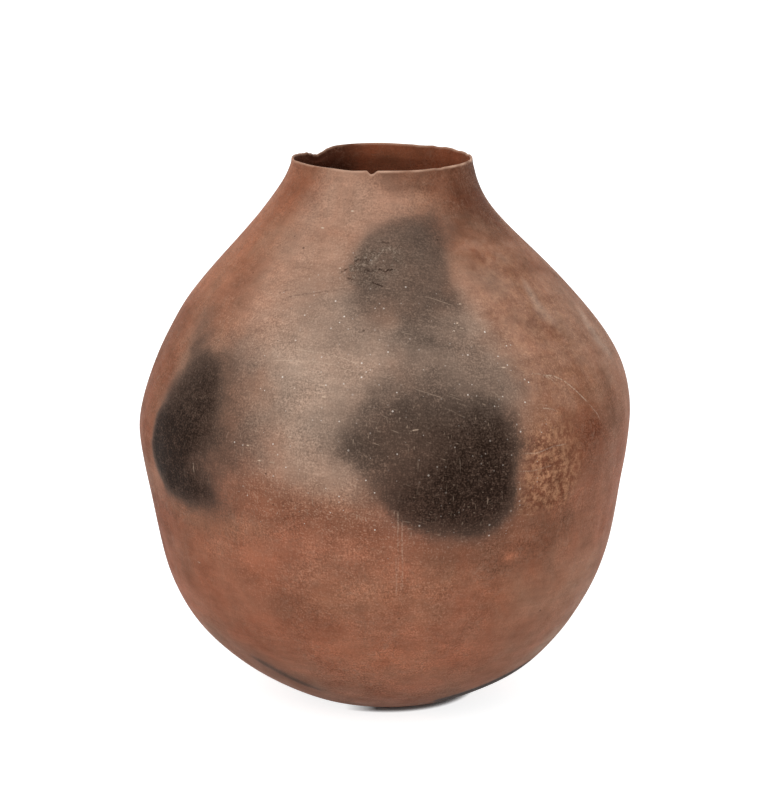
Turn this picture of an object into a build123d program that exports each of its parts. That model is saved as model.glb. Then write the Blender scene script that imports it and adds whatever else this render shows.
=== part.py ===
"""Round-bellied earthenware water jar (olla), hand built from a moulded bowl and lapped coils of clay.

The wall is one outline revolved about +Z and parted where the potter joined the clay: a bowl pressed
in a mould, courses of coil above it, a neck course and a rim coil. Each course is smeared down the
inside of the one below, so every joint is a slanting lap that the two neighbours share.

Millimetres. The origin is the centre of the resting face, and +Z is up the axis of the jar.
"""

import os

from build123d import *

# Outline of the outside: the lower stations stand at a height above the floor, and the upper ones hang
# at a drop below the top of the lip
HEIGHT = 422.0  # floor to the top of the lip
FOOT_RADIUS = 38.0  # worn flat that the jar stands on
HEEL_RADIUS = 124.0  # turn from the bottom into the side of the bowl
HEEL_HEIGHT = 38.0
FLANK_RADIUS = 168.0  # side of the bowl
FLANK_HEIGHT = 102.0
BOWL_EDGE_HEIGHT = 174.0  # where the coils start
BELLY_RADIUS = 190.0  # widest part
BELLY_HEIGHT = 218.0
WAIST = 6.0  # how far the edge of the bowl lies inside the belly
SHOULDER_RADIUS = 162.0
SHOULDER_DROP = 126.0
SLOPE_RADIUS = 103.5  # straight slope between the shoulder and the neck
SLOPE_DROP = 58.0
NECK_RADIUS = 75.0
NECK_DROP = 19.5
MOUTH_RADIUS = 70.0  # outside of the lip

# Wall, which thins evenly with height
FLOOR_WALL = 9.0
LIP_WALL = 4.2

# Clay courses, measured up the outside of the wall
COIL_COURSES = 5  # between the bowl and the neck
NECK_COURSE = 30.0
RIM_COIL = 14.0
COIL_LAP = 12.0  # how far a course reaches down the inside of the one below

LIP_SPRING = HEIGHT - LIP_WALL / 2  # height where the wall turns into the rounded lip
BOWL_EDGE = Vector(BELLY_RADIUS - WAIST, BOWL_EDGE_HEIGHT)
stations = [
    Vector(FOOT_RADIUS, 0),
    Vector(HEEL_RADIUS, HEEL_HEIGHT),
    Vector(FLANK_RADIUS, FLANK_HEIGHT),
    BOWL_EDGE,
    Vector(BELLY_RADIUS, BELLY_HEIGHT),
    Vector(SHOULDER_RADIUS, HEIGHT - SHOULDER_DROP),
    Vector(SLOPE_RADIUS, HEIGHT - SLOPE_DROP),
    Vector(NECK_RADIUS, HEIGHT - NECK_DROP),
    Vector(MOUTH_RADIUS, LIP_SPRING),
]

ALONG_FLOOR = (1, 0)
UPRIGHT = (0, 1)
END_TANGENTS = (ALONG_FLOOR, UPRIGHT)
EVEN_SPEED = (1, 1)  # the curve leaves both ends at the pace of its chords


def wall_at(height):
    """Thickness of the wall at a height: a straight taper from the floor to the lip."""
    return FLOOR_WALL + (LIP_WALL - FLOOR_WALL) * height / LIP_SPRING


# The two faces of the wall as half outlines: X is the radius and Y the height
with BuildLine() as outside_line:
    outside = Spline(*stations, tangents=END_TANGENTS, tangent_scalars=EVEN_SPEED)


def inside_point(point):
    """The point on the inside of the wall that is square across from a point on the outside."""
    along = outside.tangent_at(point)
    outward = Vector(along.Y, -along.X)
    return point - outward * wall_at(point.Y)


with BuildLine() as inside_line:
    inside_stations = [inside_point(station) for station in stations]
    inside = Spline(*inside_stations, tangents=END_TANGENTS, tangent_scalars=EVEN_SPEED)


def lap_joint(distance):
    """The two ends of the joint that comes out at a distance up the outside of the wall.

    On the inside of the wall, the joint ends lower by the lap.
    """
    outer_end = outside.position_at(distance, PositionMode.LENGTH)
    lap = outside.tangent_at(outer_end) * COIL_LAP
    inner_end = inside.closest_points(inside_point(outer_end) - lap)[0]
    return outer_end, inner_end


bowl_top = outside.trim(0.0, BOWL_EDGE).length
rim_bottom = outside.length - RIM_COIL
neck_bottom = rim_bottom - NECK_COURSE
coil_height = (neck_bottom - bowl_top) / COIL_COURSES
joints = [lap_joint(bowl_top + coil_height * n) for n in range(COIL_COURSES + 1)]
joints.append(lap_joint(rim_bottom))

os.makedirs("parts", exist_ok=True)

# Bowl pressed in a mould, with the worn flat that the jar stands on
edge_outer, edge_inner = joints[0]
with BuildPart() as moulded_bowl:
    with BuildSketch(Plane.XZ):
        with BuildLine():
            Polyline(stations[0], (0, 0), (0, FLOOR_WALL), inside @ 0)
            add(outside.trim(0.0, edge_outer))
            Line(edge_outer, edge_inner)
            add(inside.trim(0.0, edge_inner))
        make_face()
    revolve(axis=Axis.Z)
moulded_bowl.part.label = "moulded_bowl"
export_step(moulded_bowl.part, "parts/moulded_bowl.step")

# Courses of coil that build the belly, the shoulder and the neck, each lapped on the one below
course_names = [f"coil_course_{n}" for n in range(1, COIL_COURSES + 1)] + ["neck_course"]
for name, (low_outer, low_inner), (high_outer, high_inner) in zip(course_names, joints, joints[1:]):
    with BuildPart() as course:
        with BuildSketch(Plane.XZ):
            with BuildLine():
                Line(low_outer, low_inner)
                add(outside.trim(low_outer, high_outer))
                Line(high_outer, high_inner)
                add(inside.trim(low_inner, high_inner))
            make_face()
        revolve(axis=Axis.Z)
    course.part.label = name
    export_step(course.part, f"parts/{name}.step")

# Last coil, drawn up thin and wiped to a round lip
seam_outer, seam_inner = joints[-1]
with BuildPart() as rim_coil:
    with BuildSketch(Plane.XZ):
        with BuildLine():
            Line(seam_outer, seam_inner)
            add(outside.trim(seam_outer, 1.0))
            TangentArc(outside @ 1, inside @ 1, tangent=UPRIGHT)
            add(inside.trim(seam_inner, 1.0))
        make_face()
    revolve(axis=Axis.Z)
rim_coil.part.label = "rim_coil"
export_step(rim_coil.part, "parts/rim_coil.step")
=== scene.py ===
import bpy
import numpy as np
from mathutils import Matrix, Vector


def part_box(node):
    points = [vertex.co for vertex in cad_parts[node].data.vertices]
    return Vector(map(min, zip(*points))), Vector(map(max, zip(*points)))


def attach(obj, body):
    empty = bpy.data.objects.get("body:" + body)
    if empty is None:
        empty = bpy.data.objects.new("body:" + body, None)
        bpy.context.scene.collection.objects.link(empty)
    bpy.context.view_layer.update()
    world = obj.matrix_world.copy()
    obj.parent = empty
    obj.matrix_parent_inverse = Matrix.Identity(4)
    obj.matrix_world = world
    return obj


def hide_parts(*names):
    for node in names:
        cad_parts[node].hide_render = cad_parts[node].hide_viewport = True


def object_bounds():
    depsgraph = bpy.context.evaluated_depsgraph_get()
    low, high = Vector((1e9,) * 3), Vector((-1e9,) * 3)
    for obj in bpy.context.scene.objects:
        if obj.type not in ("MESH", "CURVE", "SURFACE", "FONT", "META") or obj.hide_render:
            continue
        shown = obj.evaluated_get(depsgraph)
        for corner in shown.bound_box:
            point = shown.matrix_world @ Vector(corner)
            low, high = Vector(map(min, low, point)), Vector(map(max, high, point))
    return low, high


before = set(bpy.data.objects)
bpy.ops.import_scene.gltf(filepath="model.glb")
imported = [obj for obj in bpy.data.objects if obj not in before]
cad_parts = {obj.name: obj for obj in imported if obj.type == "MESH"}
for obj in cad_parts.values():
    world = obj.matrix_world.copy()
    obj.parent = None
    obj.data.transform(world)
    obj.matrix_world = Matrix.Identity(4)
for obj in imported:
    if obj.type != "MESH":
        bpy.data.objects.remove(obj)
solid_low, solid_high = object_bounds()

# Moulded bowl
# A pat of gritty red clay pressed over a mould, then scraped and burnished with a pebble. It carries
# the coils, and the jar stands on the flat worn under it.
MM = 0.001
HEIGHT = solid_high.z / MM
BELLY_RADIUS = solid_high.x / MM
FOOT_RADIUS = 38.0
FLOOR_WALL = 9.0
LIP_WALL = 4.2
LIP_SPRING = HEIGHT - LIP_WALL / 2
# Outside of the whole wall as radius and height in mm: foot, two of the sole, heel, flank, waist, belly,
# shoulder, slope, neck and lip
OUTLINE = [
    (FOOT_RADIUS, 0),
    (62, 2.0),
    (84, 10.4),
    (125.4, 38),
    (168.6, 102),
    (184.3, 174),
    (BELLY_RADIUS, 218),
    (162, HEIGHT - 126),
    (103.5, HEIGHT - 58),
    (75, HEIGHT - 19.5),
    (70, LIP_SPRING),
]
# How far the axis of the hand-built wall leans to the right, in mm, by height
LEAN = [
    (0, 1.8), (25, 2.5), (45, 1.3), (65, 0.2), (110, 0.2), (165, 0.4), (215, 1.2), (265, 3.3),
    (310, -0.6), (357, -3.7), (388, -4.4), (HEIGHT, -1.4),
]
# Slow waves in the wall: depth and length in mm, then the seed of their draw
DENTS = [(0.55, 150, 3), (0.16, 48, 4)]
DENT_FADE = 60.0  # mm over which they fade out to the foot, and by half to the lip
COLUMNS = 720  # vertices round the jar


def spline_through(points, start, end, count=2000):
    """Points along a smooth curve through the given ones.

    Each span is a cubic timed by its chord. The slopes at the knots are solved so that the bend is the
    same on both sides of each knot, with the slopes at the two ends given.
    """
    points = np.array(points, float)
    chords = np.linalg.norm(np.diff(points, axis=0), axis=1)
    rows = np.eye(len(points))
    slopes = np.zeros_like(points)
    slopes[0], slopes[-1] = start, end
    for i, (before, after) in enumerate(zip(chords, chords[1:]), 1):
        rows[i, i - 1 : i + 2] = after, 2 * (before + after), before
        step_before = (points[i] - points[i - 1]) / before
        step_after = (points[i + 1] - points[i]) / after
        slopes[i] = 3 * (after * step_before + before * step_after)
    slopes = np.linalg.solve(rows, slopes)
    times = np.concatenate([[0], np.cumsum(chords)])
    at = np.linspace(0, times[-1], count)
    span = np.clip(np.searchsorted(times, at) - 1, 0, len(chords) - 1)
    length = chords[span][:, None]
    t = (at - times[span])[:, None] / length
    return (
        (1 + 2 * t) * (1 - t) ** 2 * points[span]
        + t * (1 - t) ** 2 * length * slopes[span]
        + t**2 * (3 - 2 * t) * points[span + 1]
        + t**2 * (t - 1) * length * slopes[span + 1]
    )


outline = np.vstack([[(0, 0)], spline_through(OUTLINE, (1, 0), (0, 1)), [(OUTLINE[-1][0], HEIGHT)]])
outline_steps = np.linalg.norm(np.diff(outline, axis=0), axis=1)
outline_up = np.concatenate([[0], np.cumsum(outline_steps)]) - FOOT_RADIUS
outline_along = np.gradient(outline, outline_up, axis=0)
outline_along /= np.linalg.norm(outline_along, axis=1)[:, None]
LIP_UP = outline_up[-2]  # distance up the wall, from the edge of the foot, to where the lip turns over
lean = spline_through(LEAN, (1, 0), (1, 0))


def smooth_step(low, high, value):
    """0 below low, 1 above high, and an S-shaped cubic between them."""
    t = np.clip((value - low) / (high - low), 0, 1)
    return t * t * (3 - 2 * t)


def ripples(points, size, seed, count=36):
    """Smooth random field with unit spread: plane waves in all directions, about size mm long."""
    draw = np.random.default_rng(seed)
    directions = draw.normal(size=(count, 3))
    directions /= np.linalg.norm(directions, axis=1)[:, None]
    lengths = size * draw.uniform(0.7, 1.5, count)
    phases = draw.uniform(0, 2 * np.pi, count)
    field = np.zeros(points.shape[:-1])
    for direction, length, phase in zip(directions, lengths, phases):
        field += np.cos(points @ direction * (2 * np.pi / length) + phase)
    return field * np.sqrt(2 / count)


def profile_point(up, depth):
    """Radius and height of the even wall, depth being 0 on the outside and 1 on the inside.

    The outside is read off the outline, and the wall stands square on it, thinning evenly with height.
    """
    radius, height, along_r, along_z = (
        np.interp(up, outline_up, values) for values in (*outline.T, *outline_along.T)
    )
    wall = FLOOR_WALL + (LIP_WALL - FLOOR_WALL) * np.minimum(height, LIP_SPRING) / LIP_SPRING
    return radius - along_z * wall * depth, height + along_r * wall * depth


def wall_point(angle, up, depth):
    """Points of the hand-built wall, in mm: the even wall turned about the axis, then leaned and dented.

    The angle is 0 towards -Y and grows towards +X. The dents are slow waves that move the two faces of
    the wall together, and fade out towards the foot, so that the jar stands flat.
    """
    radius, height = profile_point(up, depth)
    around = np.stack([np.sin(angle), -np.cos(angle), np.zeros_like(angle)], axis=-1)
    even = around * radius[..., None] + np.stack([0 * height, 0 * height, height], axis=-1)
    dent = sum(deep * ripples(even, size, seed) for deep, size, seed in DENTS)
    dent *= smooth_step(0, DENT_FADE, up) * (1 - 0.5 * smooth_step(LIP_UP - DENT_FADE, LIP_UP, up))
    even += around * dent[..., None]
    even[..., 0] += np.interp(height, *lean.T)
    return even


def clay_mesh(name, ups, depths, sharp_rows=(), capped=False, worn=None):
    """Mesh of a section, given as distance up the wall and depth into it, carried round the axis.

    The section runs up the outside and down the inside. It closes on itself, or, capped, ends at the
    axis on both faces. Rows listed as sharp keep a crease. Wear, if given, is a function that moves the
    places up the wall and into it before they become points.
    """
    angle, up = np.meshgrid(np.arange(COLUMNS) * (2 * np.pi / COLUMNS), ups)
    depth = np.repeat(depths[:, None], COLUMNS, axis=1)
    places = np.stack([angle, up, depth], axis=-1).reshape(-1, 3)
    count = len(ups)
    row, column = np.meshgrid(np.arange(count - 1 if capped else count), np.arange(COLUMNS), indexing="ij")
    after_row, after_column = (row + 1) % count, (column + 1) % COLUMNS
    corners = [(row, column), (row, after_column), (after_row, after_column), (after_row, column)]
    quads = np.stack([r * COLUMNS + c for r, c in corners], axis=-1).reshape(-1, 4)
    triangles = np.empty((0, 3), int)
    if capped:
        ring = np.arange(COLUMNS)
        last = (count - 1) * COLUMNS + ring
        poles = len(places) + np.zeros(COLUMNS, int)
        under = np.stack([poles, np.roll(ring, -1), ring], axis=-1)
        over = np.stack([poles + 1, last, np.roll(last, -1)], axis=-1)
        triangles = np.vstack([under, over])
        places = np.vstack([places, [(0, -FOOT_RADIUS, 0), (0, -FOOT_RADIUS, 1)]])
    mesh = bpy.data.meshes.new(name)
    mesh.vertices.add(len(places))
    points = wall_point(*(worn(*places.T) if worn else places.T))
    mesh.vertices.foreach_set("co", (points * MM).ravel())
    mesh.loops.add(quads.size + triangles.size)
    mesh.loops.foreach_set("vertex_index", np.concatenate([quads.ravel(), triangles.ravel()]))
    mesh.polygons.add(len(quads) + len(triangles))
    quad_starts = np.arange(len(quads)) * 4
    triangle_starts = quads.size + np.arange(len(triangles)) * 3
    mesh.polygons.foreach_set("loop_start", np.concatenate([quad_starts, triangle_starts]))
    mesh.update(calc_edges=True)
    mesh.shade_smooth()
    edges = np.empty(len(mesh.edges) * 2, int)
    mesh.edges.foreach_get("vertices", edges)
    edge_rows = edges.reshape(-1, 2) // COLUMNS
    creased = (edge_rows[:, 0] == edge_rows[:, 1]) & np.isin(edge_rows[:, 0], sharp_rows)
    sharp = mesh.attributes.new("sharp_edge", "BOOLEAN", "EDGE")
    sharp.data.foreach_set("value", creased)
    return mesh, places


def steps(start, stop, size):
    """Evenly spaced values from start to stop, about size apart."""
    return np.linspace(start, stop, int(np.ceil(abs(stop - start) / size)) + 1)


def joint_up(below, above):
    """Where the joint of two pieces leaves the outside and the inside of the wall, as distances up it.

    The solids' boxes give the heights: the lower piece is highest at the outer end of their lap, and
    the upper piece is lowest at its inner end.
    """
    inside_height = profile_point(outline_up, np.ones_like(outline_up))[1]
    outer = np.interp(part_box(below)[1].z / MM, outline[:, 1], outline_up)
    inner = np.interp(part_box(above)[0].z / MM, inside_height, outline_up)
    return outer, inner


def section(*runs):
    """Joins runs of a section, each a pair of distances up the wall and depths, without repeating ends."""
    ups = np.concatenate([np.broadcast_arrays(*run)[0][:-1] for run in runs])
    depths = np.concatenate([np.broadcast_arrays(*run)[1][:-1] for run in runs])
    corner_rows = np.cumsum([0] + [len(np.broadcast_arrays(*run)[0]) - 1 for run in runs[:-1]])
    return ups, depths, corner_rows


LAP_ROWS = 4
across = np.linspace(0, 1, LAP_ROWS)


def lap(joint):
    """Run of a section across a joint, from the outside of the wall to the inside."""
    outer, inner = joint
    return outer + (inner - outer) * across, across


clay_pieces = {}


def place_piece(name, mesh, places, *nodes):
    """Makes the object, hands it the places of its vertices on the wall, and ties it to the frame."""
    piece = bpy.data.objects.new(name, mesh)
    bpy.context.scene.collection.objects.link(piece)
    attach(piece, "root")
    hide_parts(*nodes)
    clay_pieces[name] = piece, places


BOWL_ROW = 2.9
BOWL_INSIDE_ROW = 9.0
bowl_edge = joint_up("moulded_bowl", "coil_course_1")
near_axis = -FOOT_RADIUS + BOWL_ROW
bowl_outside = steps(near_axis, bowl_edge[0], BOWL_ROW)
bowl_inside = steps(bowl_edge[1], near_axis - BOWL_ROW, BOWL_INSIDE_ROW)
ups, depths, corner_rows = section((bowl_outside, 0.0), lap(bowl_edge), (bowl_inside, 1.0))
bowl_mesh, bowl_places = clay_mesh("bowl_of_pressed_clay", ups, depths, corner_rows[1:], capped=True)
place_piece("bowl_of_pressed_clay", bowl_mesh, bowl_places, "moulded_bowl")

# Coil courses and neck course
# Rolls of the same clay set on the bowl one after another, each pinched thin, lapped down the inside of
# the one below and scraped smooth. The last and shortest of them turns the shoulder into the neck.
COURSE_ROW = 0.9
COURSE_INSIDE_ROW = 3.0
REFERENCE_RADIUS = 150.0  # turns degrees round the jar into mm along the wall, for outlines of marks


def rounded(corners):
    """Cuts the corners of a closed outline twice, so that it runs round in a soft curve."""
    for _ in range(2):
        ahead = np.roll(corners, -1, axis=0)
        pairs = [0.75 * corners + 0.25 * ahead, 0.25 * corners + 0.75 * ahead]
        corners = np.stack(pairs, axis=1).reshape(-1, 3)
    return corners


def outline_mask(angle, up, corners, stray, fade=0):
    """How far each place lies inside a mark, from 0 to 1.

    A corner gives an angle in degrees and mm up the wall. The edge fades over the mark's own mm, or at a
    corner over the mm that it gives as well. The nearest point of the outline gives a distance, negative
    inside, and a fade. The mask falls from 1 to 0 across twice that fade, along an S-shaped cubic, and
    stray waves, as a share of the fade, shift it.
    """
    corners = [(*corner, fade)[:3] for corner in corners]
    corners = rounded(np.array(corners, float))
    middle = corners[:, 0].mean()
    corners[:, 0] = np.radians(corners[:, 0] - middle) * REFERENCE_RADIUS
    x = np.radians((np.degrees(angle) - middle + 180) % 360 - 180) * REFERENCE_RADIUS
    margin = corners[:, 2].max() * 1.6
    near = (x > corners[:, 0].min() - margin) & (x < corners[:, 0].max() + margin)
    near &= (up > corners[:, 1].min() - margin) & (up < corners[:, 1].max() + margin)
    x, y = x[near], up[near]
    nearest = np.full(len(x), np.inf)
    fade = np.ones(len(x))
    inside = np.zeros(len(x), bool)
    for (x0, y0, fade0), (x1, y1, fade1) in zip(corners, np.roll(corners, -1, axis=0)):
        dx, dy = x1 - x0, y1 - y0
        t = np.clip(((x - x0) * dx + (y - y0) * dy) / (dx * dx + dy * dy), 0, 1)
        distance = np.hypot(x - x0 - t * dx, y - y0 - t * dy)
        fade = np.where(distance < nearest, fade0 + t * (fade1 - fade0), fade)
        nearest = np.minimum(nearest, distance)
        if dy:
            inside ^= ((y0 > y) != (y1 > y)) & (x < x0 + (y - y0) * dx / dy)
    outside_by = np.where(inside, -nearest, nearest) + fade * stray[near]
    mask = np.zeros(len(up))
    mask[near] = 1 - smooth_step(-fade, fade, outside_by)
    return mask


SPALL_DEPTH = 0.13  # share of the wall
CRACK_DEPTH = 0.05  # share of the wall
CRACK_REACH = 0.6  # mm to each side
# Outline of the spalled patch on the last course, with corners as outline_mask takes them
SPALL = [
    (-15, 451, 4), (-13, 466, 4), (-5, 479, 4), (6, 482, 5), (11, 472, 6), (9, 454, 6), (0, 442, 5),
    (-8, 442, 4),
]
# Cracks round the flaked scales and hairlines beside them: how dark each is, then its run as angle in
# degrees and mm up the wall
CRACKS = [
    (0.8, [(-15.2, 452.6), (-13.6, 454.4), (-12.6, 456.6), (-11.6, 457.6)]),
    (0.7, [(-12.4, 450.6), (-11.2, 448.4), (-9.6, 447.8), (-9, 449.6)]),
    (0.7, [(-6.2, 455.2), (-4.8, 456.6), (-3.4, 455), (-2, 455.8)]),
    (1.0, [(-1.8, 460), (-0.6, 458), (0.8, 456.6), (2.2, 454.6), (3.4, 456.4), (5.2, 457), (6.2, 455.8)]),
    (0.8, [(-3.4, 445.4), (-1.6, 444.8), (0, 443), (1.8, 440.8)]),
    (0.7, [(-9.8, 463), (-8.2, 465.4), (-6.4, 465), (-5, 465.6), (-4.4, 463)]),
    (0.6, [(0.4, 479), (2, 480.6), (4, 479.6), (5.4, 480)]),
    (0.3, [(-32.1, 428.3), (-25, 433.1), (-16.8, 436.8), (-11.1, 440.1)]),
    (0.3, [(-36, 430), (-33, 434), (-31, 434.8)]),
]


def nearest_line(angle, up, lines):
    """Signed distance in mm to the nearest of the lines, and how strong that line is there.

    A run of a line gives a distance, positive on its left. The strength is the line's own, fading to 0
    at both of its ends and from 1.5 mm to 3 mm away from it.
    """
    x = np.radians((np.degrees(angle) + 180) % 360 - 180) * REFERENCE_RADIUS
    signed = np.full(len(up), 9.0)
    strength = np.zeros(len(up))
    for line_strength, line in lines:
        runs = np.array(line, float) * (np.radians(REFERENCE_RADIUS), 1)
        lengths = np.linalg.norm(np.diff(runs, axis=0), axis=1)
        starts = np.cumsum(lengths) - lengths
        whole = lengths.sum()
        for (x0, y0), (x1, y1), start, length in zip(runs, runs[1:], starts, lengths):
            dx, dy = (x1 - x0) / length, (y1 - y0) / length
            t = np.clip((x - x0) * dx + (up - y0) * dy, 0, length)
            distance = np.hypot(x - x0 - t * dx, up - y0 - t * dy)
            nearer = distance < np.abs(signed)
            side = np.where(dx * (up - y0) - dy * (x - x0) < 0, -1, 1)
            from_end = np.minimum(start + t, whole - start - t)
            fading = smooth_step(0, min(3, 0.4 * whole), from_end) * (1 - smooth_step(1.5, 3, distance))
            strength = np.where(nearer, line_strength * fading, strength)
            signed = np.where(nearer, side * distance, signed)
    return signed, strength


def scale_share(angle, up):
    """How far the skin has come away at each place, from 0 to 1: ragged scales in the spalled patch."""
    points = wall_point(angle, up, np.zeros_like(up))
    scales = ripples(points, 11, seed=21) + 0.7 * ripples(points, 4.5, seed=22)
    mask = outline_mask(angle, up, SPALL, 0.5 * scales)
    return mask * (smooth_step(-0.3, 0.5, scales) * 0.75 + 0.25)


def spalled(angle, up, depth):
    """Places on the wall with the outer skin flaked off in scales, and cracked, on the last course."""
    off, strength = nearest_line(angle, up, CRACKS)
    lost = SPALL_DEPTH * scale_share(angle, up) + CRACK_DEPTH * strength * (np.abs(off) < CRACK_REACH)
    return angle, up, depth + lost * (depth == 0)


built_up = ["moulded_bowl"] + [f"coil_course_{n}" for n in range(1, 6)] + ["neck_course", "rim_coil"]
for below, node, above in zip(built_up, built_up[1:], built_up[2:]):
    low, high = joint_up(below, node), joint_up(node, above)
    low_lap_ups, low_lap_depths = lap(low)
    ups, depths, corner_rows = section(
        (steps(low[0], high[0], COURSE_ROW), 0.0),
        lap(high),
        (steps(high[1], low[1], COURSE_INSIDE_ROW), 1.0),
        (low_lap_ups[::-1], low_lap_depths[::-1]),
    )
    name = node.replace("coil_course", "course_of_coil").replace("neck_course", "neck_of_coil")
    worn = spalled if node == "coil_course_5" else None
    mesh, places = clay_mesh(name, ups, depths, corner_rows, worn=worn)
    place_piece(name, mesh, places, node)

# Rim coil
# The last coil, drawn up thin and wiped with a wet cloth to a round lip. Use has worn the lip pale and
# knocked small chips out of it.
RIM_ROW = 0.7
LIP_ROWS = 11
LIP_WAVE = 0.25  # mm
LIP_TAPER = 0.5  # share of the wall's thickness that the wiping took off the lip
# Chips out of the lip: angle in degrees, half width in degrees, depth in mm and how flat the middle is
CHIPS = [
    (-6.2, 3.8, 2.4, 0.1),
    (-7.4, 1.8, 0.5, 0.2),
    (-122, 32, 2.2, 0.0),
    (-132.5, 15, 3.2, 0.0),
    (152, 8, 0.4, 0.2),
    (139, 5, 0.6, 0.2),
    (121, 7, 0.7, 0.2),
    (104, 5, 0.5, 0.2),
    (38, 4, 0.4, 0.3),
    (-52, 6, 0.4, 0.2),
    (-48, 36, -0.8, 0.3),
    (78, 4, 0.6, 0.3),
]


def chipped(angle, up, depth):
    """Places on the wall with the lip thinned, pressed down along slow waves and chipped.

    A chip is as deep over its middle and rises at its ends along an S-shaped cubic. Both moves die out
    below the lip.
    """
    around = np.stack([np.sin(angle), np.cos(angle), 0 * angle], axis=-1) * OUTLINE[-1][0]
    drop = LIP_WAVE * (1 + ripples(around, 42, seed=31)).clip(0, 3)
    for at, half_width, deep, flat in CHIPS:
        off = np.abs((np.degrees(angle) - at + 180) % 360 - 180) / half_width
        drop += deep * (1 - smooth_step(flat, 1, off)) * (1 + 0.06 * ripples(around, 6, seed=32))
    thinned = 0.4 + (depth - 0.4) * (1 - LIP_TAPER * smooth_step(LIP_UP - 9, LIP_UP + 1, up))
    return angle, up - drop * smooth_step(LIP_UP - 11, LIP_UP - 1, up), thinned


rim_joint = joint_up("neck_course", "rim_coil")
turn = np.linspace(0, np.pi, LIP_ROWS)
rim_lap_ups, rim_lap_depths = lap(rim_joint)
ups, depths, corner_rows = section(
    (steps(rim_joint[0], LIP_UP, RIM_ROW), 0.0),
    (LIP_UP + LIP_WALL / 2 * np.sin(turn), (1 - np.cos(turn)) / 2),
    (steps(LIP_UP, rim_joint[1], RIM_ROW), 1.0),
    (rim_lap_ups[::-1], rim_lap_depths[::-1]),
)
rim_mesh, rim_places = clay_mesh("rim_with_wiped_lip", ups, depths, corner_rows[[0, 3]], worn=chipped)
place_piece("rim_with_wiped_lip", rim_mesh, rim_places, "rim_coil")

# Firing
# Low-fired earthenware, unglazed. An open wood fire leaves the clay red where air reached it, buff where
# ash lay on it and black where fuel smouldered against the wall, with edges from soft to sharp. Among the
# marks are also painted shade, a painted reflection and painted light.


def linear(hex_colour):
    """Linear red, green, blue and a full alpha of an sRGB hex colour."""
    srgb = np.array([int(hex_colour[i : i + 2], 16) for i in (1, 3, 5)]) / 255
    return np.append(np.where(srgb <= 0.04045, srgb / 12.92, ((srgb + 0.055) / 1.055) ** 2.4), 1)


# Tones of the fired clay: the wall and its inside, with painted light deeper inside and painted shade on
# its left, what the fire and the ash made of it, the worn lip
RED_CLAY = "#a66c54"
UPPER_CLAY = "#a57962"
INSIDE_CLAY = "#8c5138"
INSIDE_PAINTED_LIGHT = "#b06b4f"
INSIDE_SHADE = "#43251b"
TAN = "#b08974"
ROSY_TAN = "#a56c51"
BUFF = "#b09786"
BROWN = "#895f4a"
UMBER = "#663e2c"
RUST = "#743f29"
ORANGE = "#a9775c"
EARTH = "#774f3c"
EMBER = "#b6765a"
WORN_LIP = "#cfa78f"
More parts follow.
